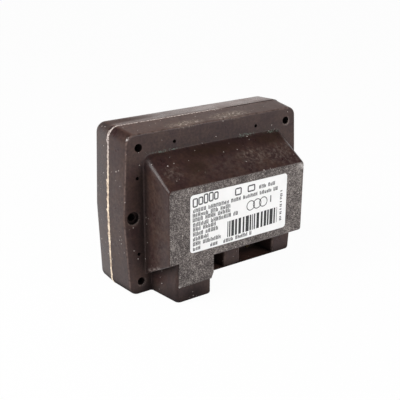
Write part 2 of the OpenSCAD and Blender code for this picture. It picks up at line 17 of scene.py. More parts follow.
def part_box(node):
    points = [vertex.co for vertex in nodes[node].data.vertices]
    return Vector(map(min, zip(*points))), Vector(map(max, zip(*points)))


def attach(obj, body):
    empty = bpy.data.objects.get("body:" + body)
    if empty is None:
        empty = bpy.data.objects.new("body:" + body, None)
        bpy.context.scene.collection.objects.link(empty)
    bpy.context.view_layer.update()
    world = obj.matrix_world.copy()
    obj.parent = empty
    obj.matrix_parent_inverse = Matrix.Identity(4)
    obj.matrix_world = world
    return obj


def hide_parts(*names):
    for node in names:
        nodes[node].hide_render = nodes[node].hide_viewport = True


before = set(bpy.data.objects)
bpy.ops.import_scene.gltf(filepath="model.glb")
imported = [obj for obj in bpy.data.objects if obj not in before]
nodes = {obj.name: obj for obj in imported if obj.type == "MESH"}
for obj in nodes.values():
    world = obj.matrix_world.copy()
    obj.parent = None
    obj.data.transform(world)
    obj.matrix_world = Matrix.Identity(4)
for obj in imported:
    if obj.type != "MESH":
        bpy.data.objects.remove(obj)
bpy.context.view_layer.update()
MM = 0.001

# %% [markdown]
# ## Measures taken from the solids
# A piece that sits on a solid takes its place from that solid, so that it still fits after the model
# changes. The label gives the grained front plane, and the seam ring gives the joint between the two
# mouldings. The flange is the largest flat face behind the front plane that looks forwards.

# %% Planes of the case
label_low, label_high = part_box("rating_label")
seam_low, seam_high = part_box("seam_resin")
front_y = label_high.y
seam_y = (seam_low.y + seam_high.y) / 2
case_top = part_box("front_housing")[1].z
planes = {}
for face in nodes["front_housing"].data.polygons:
    if face.normal.y < -0.999 and face.center.y > front_y + MM:
        depth = round(face.center.y / MM, 2)
        planes[depth] = planes.get(depth, 0) + face.area
flange_y = max(planes, key=planes.get) * MM
print("front", round(front_y / MM, 2), "flange", round(flange_y / MM, 2), "seam", round(seam_y / MM, 2))

# %% [markdown]
# ## Helpers for materials
# Colours are written as sRGB hex values, as a paint chart gives them, but shaders work with linear light,
# so one function converts them. Another adds a shader node with its settings and links in one line, which
# keeps each material readable as a list. Patterns are sized in millimetres of the real part.


# %% Colour and node helpers
def linear(colour):
    """Linear RGBA of an sRGB hex colour."""
    parts = [int(colour[k:k + 2], 16) / 255 for k in (1, 3, 5)]
    return [p / 12.92 if p <= 0.04045 else ((p + 0.055) / 1.055) ** 2.4 for p in parts] + [1.0]


def add(tree, kind, inputs=None, **settings):
    """One shader node with its settings. An input is a value, or another node's output."""
    made = tree.nodes.new("ShaderNode" + kind)
    for name, value in settings.items():
        setattr(made, name, value)
    for socket, value in (inputs or {}).items():
        if isinstance(value, bpy.types.NodeSocket):
            tree.links.new(value, made.inputs[socket])
        else:
            made.inputs[socket].default_value = value
    return made


def new_material(name):
    """An empty node material, its tree and its principled shader."""
    material = bpy.data.materials.new(name)
    material.use_nodes = True
    tree = material.node_tree
    return material, tree, tree.nodes["Principled BSDF"]


def per_mm(size):
    """Texture scale for a pattern whose features are this many millimetres wide."""
    return 1 / (size * MM)


print("linear #808080:", round(linear("#808080")[0], 4))

# %% [markdown]
# ## The skin of the moulding
# The case is a filled thermoset, pressed hot in a steel mould. Where the mould was polished the skin is
# satin, nearly black with a red-brown cast, and it mirrors the pale room at a low angle. Handling leaves
# brown smudges, and dust settles on what faces up. One could paint an image for this. Noise in the
# model's own millimetres needs no image, has no seams, and stays put when the part is seen from another
# side.

# %% Satin skin
SMUDGE_MM = 9.0
MOTTLE_MM = 1.5
DUST_COVER = 0.85       # most of the skin that dust hides on a level face


def satin_skin(tree, place, facing, dark, smudge, dust):
    """Colour of the polished skin, with its smudge and mottle patterns."""
    smudges = add(tree, "TexNoise", {
        "Vector": place, "Scale": per_mm(SMUDGE_MM), "Detail": 6.0, "Roughness": 0.65})
    share = add(tree, "MapRange", {"Value": smudges.outputs[0], "From Min": 0.42, "From Max": 0.64})
    ground = add(tree, "Mix", {
        "Factor": share.outputs[0], "A": linear(dark), "B": linear(smudge)}, data_type="RGBA")
    level = add(tree, "MapRange", {
        "Value": add(tree, "SeparateXYZ", {0: facing}).outputs["Z"],
        "From Min": 0.9, "From Max": 0.985, "To Max": DUST_COVER})
    dusty = add(tree, "Mix", {
        "Factor": level.outputs[0], "A": ground.outputs["Result"], "B": linear(dust)}, data_type="RGBA")
    mottle = add(tree, "TexNoise", {
        "Vector": place, "Scale": per_mm(MOTTLE_MM), "Detail": 4.0, "Roughness": 0.6})
    tone = add(tree, "MapRange", {
        "Value": mottle.outputs[0], "From Min": 0.3, "From Max": 0.7, "To Min": 0.65, "To Max": 1.35})
    colour = add(tree, "VectorMath", {0: dusty.outputs["Result"], 1: tone.outputs[0]}, operation="MULTIPLY")
    return colour.outputs[0], smudges.outputs[0], mottle.outputs[0]


print("skin patterns:", SMUDGE_MM, "and", MOTTLE_MM, "mm")

# %% [markdown]
# ## The grained front
# The front of the hood was spark-eroded in the mould, so it is covered in fine pits. They scatter the
# light, and the same stuff looks grey there instead of black. Real spark grain is about 0.15 mm across,
# which is finer than this picture can show, so it is drawn a few times coarser.

# %% Spark grain
GRAIN_MM = 0.6          # drawn coarser than the real grain, to show
CLUMP_MM = 5.0
CLUMP_SHARE = 0.22      # how much the clumps count beside the single pits


def spark_grain(tree, place):
    """Colour and height of the eroded grain, in clumps of lighter and darker pits."""
    grain = add(tree, "TexNoise", {
        "Vector": place, "Scale": per_mm(GRAIN_MM), "Detail": 2.0, "Roughness": 0.8})
    clumps = add(tree, "TexNoise", {"Vector": place, "Scale": per_mm(CLUMP_MM), "Detail": 2.0})
    mixed = add(tree, "Mix", {
        "Factor": CLUMP_SHARE, "A": grain.outputs[0], "B": clumps.outputs[0]}, data_type="FLOAT")
    sparkle = add(tree, "ValToRGB", {"Fac": mixed.outputs["Result"]})
    ramp = sparkle.color_ramp.elements
    ramp[0].position, ramp[0].color = 0.36, linear("#2a2322")
    ramp[1].position, ramp[1].color = 0.66, linear("#a79f99")
    ramp.new(0.5).color = linear("#59514f")
    return sparkle.outputs[0], grain.outputs[0]


print("grain:", GRAIN_MM, "mm in clumps of", CLUMP_MM, "mm")

# %% [markdown]
# ## Wear, painted sheen and painted highlights at known places
# Some marks on this part are not spread evenly. The top has scuffs beside its front edge and wiped dust
# on its rear right. A grey haze lies on the lower roof and the left sides, where it is also a painted
# sheen, and the roof has dry smears and oily stains. Crumbs lie in the corner above it. The lower edge of
# the hood has a pale frayed line that is partly a painted highlight, three corners are rubbed pale and
# carry painted highlights, and the rims of three screw holes are worn pale and carry painted highlights.
# Each is given as a place and three radii in millimetres. Inside such an egg-shaped space a noise pattern
# shows, and it fades out towards the rim.

# %% Places of the wear and the painted light
SCUFFED = (((-19, -1, 93), (15, 5, 3)), ((12, 0, 93), (17, 6, 3)))
DUSTED = (((30, 20, 94), (48, 12, 4)),)
# Grey haze on the lower roof, which on the left sides is also a painted sheen
HAZE_AND_SHEEN = (
    ((14, -21, 71), (60, 13, 9)), ((-48.5, -17, 42), (5, 16, 46)), ((-62, 3, 46), (4, 12, 90)))
OILED = (
    ((-6, -9, 77.5), (26, 6, 5)), ((36, -9, 77.5), (17, 6, 5)), ((-22, -17, 72.5), (9, 8, 6)))
SMEARED = (
    ((-39, -18, 72), (9, 8, 6)), ((18, -17, 72.5), (15, 8, 7)), ((38, -20, 71), (18, 12, 9)))
CRUMBED = (
    ((21, -5, 81), (9, 1.6, 1.4)), ((-34, -5, 81), (14, 1.2, 0.9)), ((40, -5, 80), (8, 1.2, 1.6)))
# Pale frayed line on the hood's lower edge, partly a painted highlight
FRAY_AND_HIGHLIGHT = (
    ((-47.7, -9, 14.9), (1.6, 3, 1.8)), ((-47.3, -13, 16.8), (1.6, 3.2, 1.8)),
    ((-47, -17.5, 18.9), (1.6, 3.2, 1.8)))
# Corners rubbed pale, which also carry painted highlights
RUBBED_AND_HIGHLIGHT = (
    ((45.6, -27.2, 63.9), (4.5, 2, 2.6)), ((-57.4, -3.6, 90.8), (1.7, 1.0, 1.7)),
    ((-40.7, -27.3, 9.9), (1.5, 1, 1.3)))
# Screw hole rims worn pale, with painted highlights on them
WORN_RIMS_AND_HIGHLIGHT = (
    ((-54.9, -4.4, 45.6), (4.6, 0.7, 4.6)), ((51.7, -4.4, 84.5), (3.4, 0.6, 3.4)),
    ((-50.5, -4.4, 7.1), (3.3, 0.6, 3.3)))
FULL_SHARE = 0.35       # share of the radius inside which a spot is at its full strength


def near(tree, place, spots):
    """1 in the middle of any of the spots, and 0 from their rims outwards."""
    total = 0.0
    for centre, radii in spots:
        scaled = add(tree, "VectorMath", {
            0: place, 1: [per_mm(r) for r in radii], 2: [-c / r for c, r in zip(centre, radii)],
        }, operation="MULTIPLY_ADD")
        away = add(tree, "VectorMath", {0: scaled.outputs[0]}, operation="LENGTH")
        here = add(tree, "MapRange", {
            "Value": away.outputs["Value"], "From Min": 1.0, "From Max": FULL_SHARE})
        total = add(tree, "Math", {0: total, 1: here.outputs[0]}, operation="MAXIMUM").outputs[0]
    return total


marks = (SCUFFED, DUSTED, HAZE_AND_SHEEN, OILED, SMEARED, CRUMBED, FRAY_AND_HIGHLIGHT, RUBBED_AND_HIGHLIGHT, WORN_RIMS_AND_HIGHLIGHT)
print("kinds of mark:", len(marks), "at", sum(len(spots) for spots in marks), "places")

# %% [markdown]
# Four noise patterns serve all these marks: short scratches across the edge, long streaks of wiping,
# round smears and fine crumbs. Each mark is a layer of one colour over what lies under it, and a table
# keeps them in order.

# %% Layers of the wear
PATTERNS = (    # name, size in millimetres along X, Y and Z, detail, roughness
    ("scratches", (1.0, 2.2, 1.0), 3.0, 0.6),
    ("streaks", (11.0, 3.5, 3.5), 5.0, 0.7),
    ("smears", (2.2, 2.2, 2.2), 5.0, 0.7),
    ("crumbs", (0.8, 0.8, 0.8), 2.0, 0.5))
LAYERS = (      # places, pattern, noise where the mark starts and where it is full, most cover, colour
    (DUSTED, "streaks", 0.3, 0.65, 0.6, "#ab8f88"),
    (SCUFFED, "smears", 0.3, 0.65, 0.3, "#a3927a"),
    (SCUFFED, "scratches", 0.54, 0.6, 0.8, "#c6b6a8"),
    (HAZE_AND_SHEEN, "smears", 0.4, 0.68, 0.16, "#8f8178"),
    (OILED, "smears", 0.3, 0.6, 0.7, "#2c1e10"),
    (SMEARED, "smears", 0.48, 0.66, 0.35, "#8f8178"),
    (CRUMBED, "crumbs", 0.5, 0.62, 0.6, "#829688"),
    (FRAY_AND_HIGHLIGHT, "crumbs", 0.42, 0.6, 0.6, "#a89d97"),
    (RUBBED_AND_HIGHLIGHT, "crumbs", 0.4, 0.6, 0.85, "#e0dad6"),
    (WORN_RIMS_AND_HIGHLIGHT, "crumbs", 0.3, 0.6, 0.9, "#8d7f79"))


def local_wear(tree, place, body):
    """The body colour with the marks that belong to one place."""
    patterns = {}
    for name, sizes, detail, roughness in PATTERNS:
        stretched = add(tree, "Mapping", {"Vector": place, "Scale": [per_mm(size) for size in sizes]})
        patterns[name] = add(tree, "TexNoise", {
            "Vector": stretched.outputs[0], "Scale": 1.0, "Detail": detail, "Roughness": roughness})
    for spots, name, low, high, most, colour in LAYERS:
        shown = add(tree, "MapRange", {
            "Value": patterns[name].outputs[0], "From Min": low, "From Max": high, "To Max": most})
        factor = add(tree, "Math", {0: shown.outputs[0], 1: near(tree, place, spots)}, operation="MULTIPLY")
        body = add(tree, "Mix", {
            "Factor": factor.outputs[0], "A": body, "B": linear(colour)}, data_type="RGBA").outputs["Result"]
    return body


print("layers of wear:", len(LAYERS))

# %% [markdown]
# ## Wear, painted highlight and painted shade all over
# Pale dust specks lie about on every face, and the rounded rim of the flange gets a lighter line, partly
# rubbed and partly a painted highlight. Painted shade darkens the inner corners. The rim is found by its
# normal, which there lies between forwards and outwards. The inner corners are found by ambient occlusion,
# which measures how much of the surroundings a point sees. Two places get painted shade all over: the
# foot of the mains leg and the left rear of the top.

# %% Specks, rim and painted shade
SPECK_MM = 2.4          # size of the cells, of which some hold a speck
SPECK_R_MM = 0.36       # radius of the largest speck
SPECKLESS = 0.6         # share of the cells without one
RIM_MM = 0.02           # the pale rim, rubbed and painted highlight, starts within this distance of the flange face
SHADE_REACH_MM = 9.0           # how far from a wall the painted shade reaches
# Spots of painted shade: the foot of the mains leg and the left rear of the top
PAINTED_SHADE_SPOTS = (((-31, -22, 2), (20, 15, 12)), ((-50, 21, 97), (38, 9, 5)))
SHADE_SPOT_SHARE = 0.9


def overall_wear(tree, place, facing, body, mottle):
    """The body colour with specks, a rim partly rubbed and partly painted highlight, and painted shade."""
    cells = add(tree, "TexVoronoi", {"Vector": place, "Scale": per_mm(SPECK_MM), "Randomness": 1.0})
    chance = add(tree, "SeparateXYZ", {0: cells.outputs["Color"]})
    size = add(tree, "MapRange", {
        "Value": chance.outputs["X"], "From Min": SPECKLESS, "From Max": 1.0,
        "To Max": SPECK_R_MM / SPECK_MM})
    speck = add(tree, "Math", {0: cells.outputs["Distance"], 1: size.outputs[0]}, operation="LESS_THAN")
    body = add(tree, "Mix", {
        "Factor": speck.outputs[0], "A": body, "B": linear("#cbc0ba")}, data_type="RGBA").outputs["Result"]

    forward = add(tree, "SeparateXYZ", {0: facing}).outputs["Y"]
    depth = add(tree, "SeparateXYZ", {0: place}).outputs["Y"]
    off_side = add(tree, "MapRange", {"Value": forward, "From Min": -0.12, "From Max": -0.35})
    behind = add(tree, "MapRange", {
        "Value": depth, "From Min": flange_y - RIM_MM * MM, "From Max": flange_y + RIM_MM * MM})
    patchy = add(tree, "MapRange", {
        "Value": mottle, "From Min": 0.35, "From Max": 0.6, "To Min": 0.15, "To Max": 0.7})
    # A lighter line on the flange rim: partly rubbed, partly a painted highlight
    rim = add(tree, "MapRange", {"Value": forward, "From Min": -0.98, "From Max": -0.85})
    for limit in (off_side, behind, patchy):
        rim = add(tree, "Math", {0: rim.outputs[0], 1: limit.outputs[0]}, operation="MULTIPLY")
    body = add(tree, "Mix", {
        "Factor": rim.outputs[0], "A": body, "B": linear("#76645e")}, data_type="RGBA").outputs["Result"]

    # Painted shade: ambient occlusion darkens the inner corners, and the spots darken all over
    seen = add(tree, "AmbientOcclusion", {"Distance": SHADE_REACH_MM * MM}, samples=8)
    painted_shade = add(tree, "MapRange", {"Value": seen.outputs["AO"], "From Min": 0.93, "From Max": 0.5})
    shade_spots = add(tree, "Math", {0: near(tree, place, PAINTED_SHADE_SPOTS), 1: SHADE_SPOT_SHARE}, operation="MULTIPLY")
    painted_shade = add(tree, "Math", {0: painted_shade.outputs[0], 1: shade_spots.outputs[0]}, operation="MAXIMUM")
    return body, painted_shade.outputs[0]


print("speck cells:", SPECK_MM, "mm wide, dirt to", SHADE_REACH_MM, "mm from a wall")

# %% [markdown]
# ## The whole moulding
# The layers come together here. Painted shade darkens the colour and makes the surface dull, the grain is
# rough and in relief, and the satin skin is smoother where it isn't smudged. The rear cover is a little
# smoother and shinier than the front housing, so each of them gets a material of its own from the same
# function.

# %% Moulding shader
IOR_THERMOSET = 1.52
GRAIN_FROM, GRAIN_FULL = 0.5, 0.1       # millimetres behind the front where the grain starts and is full
# roughness of the grain, and of the corners under full painted shade
GRAIN_ROUGH, SHADED_ROUGH = 0.62, 0.95
SHADE_TONE = 0.25                        # what is left of the colour under full painted shade
SATIN_RELIEF = 0.06                     # relief of the satin skin, where the grain has 1
GRAIN_DEEP = 0.18 * MM


def thermoset(name, dark, smudge, dust, rough, shine):
    """Pressed thermoset: satin and dark on the sides, grey and grained on the front plane."""
    material, tree, shader = new_material(name)
    place = add(tree, "TexCoord").outputs["Object"]
    facing = add(tree, "NewGeometry").outputs["Normal"]
    skin, smudges, mottle = satin_skin(tree, place, facing, dark, smudge, dust)
    sparkle, pits = spark_grain(tree, place)
    depth = add(tree, "SeparateXYZ", {0: place}).outputs["Y"]
    grained = add(tree, "MapRange", {
        "Value": depth, "From Min": front_y + GRAIN_FROM * MM, "From Max": front_y + GRAIN_FULL * MM,
    }, interpolation_type="SMOOTHSTEP").outputs[0]
    body = add(tree, "Mix", {"Factor": grained, "A": skin, "B": sparkle}, data_type="RGBA").outputs["Result"]
    body = local_wear(tree, place, body)
    body, painted_shade = overall_wear(tree, place, facing, body, mottle)
    # painted shade darkens the colour in the inner corners and at the two spots
    left = add(tree, "MapRange", {"Value": painted_shade, "To Min": 1.0, "To Max": SHADE_TONE})
    colour = add(tree, "VectorMath", {0: body, 1: left.outputs[0]}, operation="MULTIPLY")
    tree.links.new(colour.outputs[0], shader.inputs["Base Color"])
    shader.inputs["Specular IOR Level"].default_value = shine
    shader.inputs["IOR"].default_value = IOR_THERMOSET
    satin = add(tree, "MapRange", {
        "Value": smudges, "From Min": 0.3, "From Max": 0.7, "To Min": rough - 0.05, "To Max": rough + 0.1})
    scatter = add(tree, "Mix", {
        "Factor": grained, "A": satin.outputs[0], "B": GRAIN_ROUGH}, data_type="FLOAT")
    dulled = add(tree, "Mix", {
        "Factor": painted_shade, "A": scatter.outputs["Result"], "B": SHADED_ROUGH}, data_type="FLOAT")
    tree.links.new(dulled.outputs["Result"], shader.inputs["Roughness"])
    relief = add(tree, "Mix", {"Factor": grained, "A": SATIN_RELIEF, "B": 1.0}, data_type="FLOAT")
    bump = add(tree, "Bump", {
        "Height": pits, "Strength": relief.outputs["Result"], "Distance": GRAIN_DEEP})
    tree.links.new(bump.outputs["Normal"], shader.inputs["Normal"])
    print(name, "nodes:", len(tree.nodes))
    return material


moulding = thermoset("pressed_thermoset", "#352322", "#402d27", "#5c443c", 0.3, 0.25)
cover_moulding = thermoset("pressed_thermoset_cover", "#342423", "#3f2d26", "#604339", 0.26, 0.335)

# %% [markdown]
# ## Soft shading on the moulded edges
# The CAD mesh is made of flat facets, also on its rounded edges. Subdividing it would change its shape.
# Instead its faces are marked smooth, every true corner is marked sharp, and two modifiers join the
# facets and weigh the normals by area. The vertices stay where the CAD put them.

# %% Smooth faces, sharp corners
SHARP_ANGLE = math.radians(38)
SAME_POINT = 0.001 * MM     # vertices closer than this count as one
JOIN_POINT = 0.002 * MM     # the modifier joins vertices closer than this


def soften(node):
    """Smooth shading across the facets of a node, with its true corners kept sharp."""
    mesh = nodes[node].data
    key = [tuple(round(c / SAME_POINT) for c in v.co) for v in mesh.vertices]
    sides = {}
    for face in mesh.polygons:
        face.use_smooth = True
        for a, b in face.edge_keys:
            sides.setdefault(frozenset((key[a], key[b])), []).append(face.normal)
    if "custom_normal" in mesh.attributes:
        mesh.attributes.remove(mesh.attributes["custom_normal"])
    corners = 0
    for edge in mesh.edges:
        normals = sides.get(frozenset(key[v] for v in edge.vertices), [])
        edge.use_edge_sharp = len(normals) == 2 and normals[0].angle(normals[1], 0) > SHARP_ANGLE
        corners += edge.use_edge_sharp
    weld = nodes[node].modifiers.new("join_facets", "WELD")
    weld.merge_threshold = JOIN_POINT
    weigh = nodes[node].modifiers.new("weigh_normals", "WEIGHTED_NORMAL")
    weigh.weight = 100
    weigh.keep_sharp = True
    return corners


for piece, finish in (("front_housing", moulding), ("rear_cover", cover_moulding)):
    nodes[piece].data.materials[0] = finish
    print(piece, "sharp edges:", soften(piece))

# %% [markdown]
# ## The seam
# The two halves are joined while the filling resin is poured. Some of it wells up in the joint and cures
# there as a ragged bead. It was wiped forwards, so higher up the pale bead lies a millimetre or two in
# front of the true joint, and behind it the resin is level and as dirty as the cover. The CAD ring is
# even, so a new strip is swept along its outline. First the outline is cut into short steps.

# %% Outline of the seam
BEAD_STEP = 0.5 * MM
UNDER = -0.9            # a normal that points down more than this is on the standing face
ring = sorted({(round(v.co.x, 6), round(v.co.z, 6)) for v in nodes["seam_resin"].data.vertices})
hull = [Vector(ring[k]) for k in geometry.convex_hull_2d(ring)]
bead_reach = seam_high.z - case_top
middle = Vector((0, seam_high.z / 2))
stations = []
for a, b in zip(hull, hull[1:] + hull[:1]):
    length = (b - a).length
    way = (b - a) / length
    out = Vector((way.y, -way.x))
    if (a - middle).dot(out) < 0:
        out = -out
    steps = max(1, round(length / BEAD_STEP))
    reach = bead_reach if out.y > UNDER else 0
    stations += [(a + way * length * k / steps - out * reach, out) for k in range(steps)]
print("seam stations:", len(stations), "bead reach", round(bead_reach / MM, 3))

# %% [markdown]
# The bead is wide and tan at the sides and a thin line along the top. Low down it lies on the joint, and
# higher up it moves forwards and gets frayed behind. Its edges and its crest wander by smooth noise at
# several sizes, which gives the same shape in each run, where a hand-drawn curve would need many points.

# %% Where the bead runs
SIDE_END, TOP_START = 0.1, 0.7          # upward share of the normal where the side ends and the top starts
CORNER_AT, CORNER_SPAN = 0.5, 0.45      # that share in the middle of a round corner, and how far it counts
CLIMB = (18, 48)                        # heights in millimetres between which the bead moves forwards
SIDE_SHIFT = 0.15                       # how far its middle lies behind the joint low down
CLIMB_SHIFT, TOP_SHIFT = 1.3, 2.0       # how far it moves forwards on the side, and lies forwards on the top
SIDE_HALF, TOP_HALF = 0.88, 0.36        # half its width
CORNER_HALF = 0.15                      # what a round corner adds to that
TOP_CALM, TOP_LOWER = 0.6, 0.5          # how much calmer and lower the bead is on the top
FRAY = 1.4                              # reach of the frays to the back
CREST = 0.1                             # mean height of the crest
CREST_LIMITS = (0.03, 0.23)
UNDER_CREST = -0.05                     # where the part stands, the bead is sunk and carries nothing
FRAYS = ((1.0, 2.6, 21), (0.45, 0.9, 27))           # rows of noise: weight, size in millimetres, seed
FRONT_NOISE = ((0.35, 1.6, 33), (0.3, 0.7, 35))
BACK_NOISE = ((0.55, 1.1, 37),)
CREST_NOISE = ((0.1, 3.1, 3), (0.06, 1.0, 9))


def ragged(point, rows):
    """Sum of smooth noises, each from minus its weight to its weight."""
    flat = Vector((point.x, point.y, 0))
    return sum(
        weight * noise.noise(flat / (size * MM) + Vector((seed, 0, 0))) for weight, size, seed in rows)


def ease(value, low, high):
    """0 below low, 1 above high, and straight between."""
    return min(1, max(0, (value - low) / (high - low)))


def bead_lines(point, out):
    """Front and back edge of the pale bead behind the seam plane, and its height, in millimetres."""
    top = ease(out.y, SIDE_END, TOP_START)
    corner = max(0, 1 - abs(out.y - CORNER_AT) / CORNER_SPAN)
    high_up = ease(point.y / MM, *CLIMB)
    shift = (SIDE_SHIFT - CLIMB_SHIFT * high_up) * (1 - top) - TOP_SHIFT * top
    half = SIDE_HALF * (1 - top) + TOP_HALF * top + CORNER_HALF * corner
    rough = 1 - TOP_CALM * top
    front = shift - half * (1 + rough * ragged(point, FRONT_NOISE))
    back = shift + half * (1 + rough * ragged(point, BACK_NOISE))
    back += FRAY * max(0, ragged(point, FRAYS)) * (1 - top) * high_up
    high = (CREST + ragged(point, CREST_NOISE)) * (1 - TOP_LOWER * top)
    low_limit, high_limit = CREST_LIMITS
    return front, back, min(high_limit, max(low_limit, high)) if out.y > UNDER else UNDER_CREST


print("bead at the left:", [round(v, 2) for v in bead_lines(Vector((-0.06, 0.06)), Vector((-1, 0)))])

# %% [markdown]
# Each station gets a cross-section: the front edge lies on the moulding, found by a ray shot at it from
# outside, then come the crest, the back edge, and a level stretch over the true joint.

# %% The strip itself
BEAD_DEEP = 0.4         # how far the strip reaches into the case
LEVEL_BACK = 0.6        # the level stretch ends at least this far behind the joint
LEVEL_LEAST = 0.1       # and is at least this long
LEVEL_FACE = 5          # from this face on, a section is level and dirty
SHOT_MM = 3             # height from which the ray is shot
SUNK = 0.01             # how deep the front edge goes into the moulding
skin = nodes["front_housing"].data
skin = BVHTree.FromPolygons([v.co for v in skin.vertices], [f.vertices for f in skin.polygons])


def skin_height(point, out, y):
    """Height of the front moulding over the seam's outline at depth y, in millimetres."""
    ray = Vector((-out.x, 0, -out.y))
    start = Vector((point.x, y, point.y)) - ray * SHOT_MM * MM
    hit = skin.ray_cast(start, ray, 2 * SHOT_MM * MM)[0]
    return SHOT_MM - (hit - start).length / MM if hit else -BEAD_DEEP / 2


bead = bmesh.new()
sections = []
for point, out in stations:
    front, back, high = bead_lines(point, out)
    foot = skin_height(point, out, seam_y + front * MM) - SUNK
    wide = back - front
    end = max(back + LEVEL_LEAST, LEVEL_BACK)
    profile = [
        (front, foot - BEAD_DEEP),                              # under the front edge
        (front, foot),                                          # front edge, on the moulding
        (front + 0.2 * wide, min(foot + 0.2, 0.6 * high)),      # on the way up
        (front + 0.5 * wide, high),                             # crest
        (front + 0.8 * wide, 0.7 * high),                       # on the way down
        (back, min(0.02, high)),                                # back edge
        (end, min(0.015, high)),                                # end of the level stretch
        (end, -BEAD_DEEP)]                                      # under that end
    sections.append([
        bead.verts.new((point.x + out.x * h * MM, seam_y + y * MM, point.y + out.y * h * MM))
        for y, h in profile])
for a, b in zip(sections, sections[1:] + sections[:1]):
    for k in range(len(a)):
        j = (k + 1) % len(a)
        bead.faces.new((a[k], a[j], b[j], b[k])).material_index = 1 if k >= LEVEL_FACE else 0
bmesh.ops.recalc_face_normals(bead, faces=bead.faces)
print("bead sections:", len(sections))


# %% A helper that ends a piece
def finish_piece(work, name, materials):
    """Turns the work into a piece of the part that rides on its one body."""
    data = bpy.data.meshes.new(name)
    work.to_mesh(data)
    work.free()
    piece = bpy.data.objects.new(name, data)
    bpy.context.collection.objects.link(piece)
    for material in materials:
        data.materials.append(material)
    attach(piece, "root")
    print(name, "faces:", len(data.polygons))
    return piece


# %% [markdown]
# ## Cured resin
# Cast resin is tan where it is clean and thick. Towards the upper corner it is crushed and white, along
# the top it is a thin pinkish line, and on the right half of the top it has gone and leaves a dark
# groove. Its surface is glossy in the hollows and chalky on the crests.

# %% The bead's shader
RESIN_PATCH_MM = 3.0
RESIN_CRUMB_MM = 0.8
CRUSHED_FROM, CRUSHED_FULL = 60 * MM, 84 * MM       # heights between which the resin turns white
GONE_FROM, GONE_FULL = 8 * MM, 20 * MM              # places along X between which it goes missing
cured_resin, tree, shader = new_material("cured_resin")
place = add(tree, "TexCoord").outputs["Object"]
split = add(tree, "SeparateXYZ", {0: place})
patches = add(tree, "TexNoise", {
    "Vector": place, "Scale": per_mm(RESIN_PATCH_MM), "Detail": 5.0, "Roughness": 0.7})
crumbs = add(tree, "TexNoise", {"Vector": place, "Scale": per_mm(RESIN_CRUMB_MM), "Detail": 3.0})
clean = add(tree, "MapRange", {"Value": patches.outputs[0], "From Min": 0.38, "From Max": 0.58})
tan = add(tree, "Mix", {
    "Factor": clean.outputs[0], "A": linear("#b9a08a"), "B": linear("#fae6cc")}, data_type="RGBA")
upper = add(tree, "MapRange", {
    "Value": split.outputs["Z"], "From Min": CRUSHED_FROM, "From Max": CRUSHED_FULL})
crushed = add(tree, "MapRange", {"Value": crumbs.outputs[0], "From Min": 0.34, "From Max": 0.6})
white = add(tree, "Mix", {
    "Factor": crushed.outputs[0], "A": linear("#62554f"), "B": linear("#dccdc6")}, data_type="RGBA")
coat = add(tree, "Mix", {
    "Factor": upper.outputs[0], "A": tan.outputs["Result"], "B": white.outputs["Result"]}, data_type="RGBA")
gone = add(tree, "MapRange", {"Value": split.outputs["X"], "From Min": GONE_FROM, "From Max": GONE_FULL})
gone = add(tree, "Math", {0: gone.outputs[0], 1: upper.outputs[0]}, operation="MULTIPLY")
left = add(tree, "Mix", {
    "Factor": gone.outputs[0], "A": coat.outputs["Result"], "B": linear("#33251f")}, data_type="RGBA")
tree.links.new(left.outputs["Result"], shader.inputs["Base Color"])
chalk = add(tree, "MapRange", {"Value": crumbs.outputs[0], "To Min": 0.35, "To Max": 0.75})
tree.links.new(chalk.outputs[0], shader.inputs["Roughness"])
bump = add(tree, "Bump", {"Height": crumbs.outputs[0], "Strength": 0.6, "Distance": 0.25 * MM})
tree.links.new(bump.outputs["Normal"], shader.inputs["Normal"])
nodes["seam_resin"].data.materials[0] = cured_resin
seam_bead = finish_piece(bead, "seam_bead", [cured_resin, cover_moulding])
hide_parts("seam_resin")

# %% [markdown]
# ## The rating label
# The label is a white polyester film with round corners. It is built as a thin solid with a broken front
# edge, a little thinner than the CAD label so that the print has room on it.

# %% Outlines and stacked solids
INK_T = 0.025 * MM
FILM_EDGE = 0.05 * MM
CORNER_R = 2 * MM
film_front = label_low.y + INK_T


def rounded(centre, size, r, steps=8):
    """Corners of a rounded rectangle in X and Z, counter-clockwise as seen from the front."""
    points = []
    for quarter, (sx, sz) in enumerate(((1, 1), (-1, 1), (-1, -1), (1, -1))):
        for k in range(steps + 1):
            turn = math.radians(90 * (quarter + k / steps))
            points.append((centre[0] + sx * (size[0] / 2 - r) + r * math.cos(turn),
                           centre[1] + sz * (size[1] / 2 - r) + r * math.sin(turn)))
    return points


def walls(work, low, high):
    """Faces between two closed rows of as many vertices."""
    for k in range(len(low)):
        j = (k + 1) % len(low)
        work.faces.new((low[k], low[j], high[j], high[k]))


def stack(work, rings):
    """A closed solid through rings of (points, y), from the back to the front."""
    rows = [[work.verts.new((x, y, z)) for x, z in points] for points, y in rings]
    for low, high in zip(rows, rows[1:]):
        walls(work, low, high)
    work.faces.new(rows[0][::-1])
    work.faces.new(rows[-1])


print("film thickness:", round((label_high.y - film_front) / MM, 3), "mm")

# %% [markdown]
# ## Film and ink
# Polyester film is smooth, white and a little glossy. Small waves of the glue show under it as a faint
# unevenness. The ink was printed by heat from a ribbon, so it is nearly black and a little patchy.

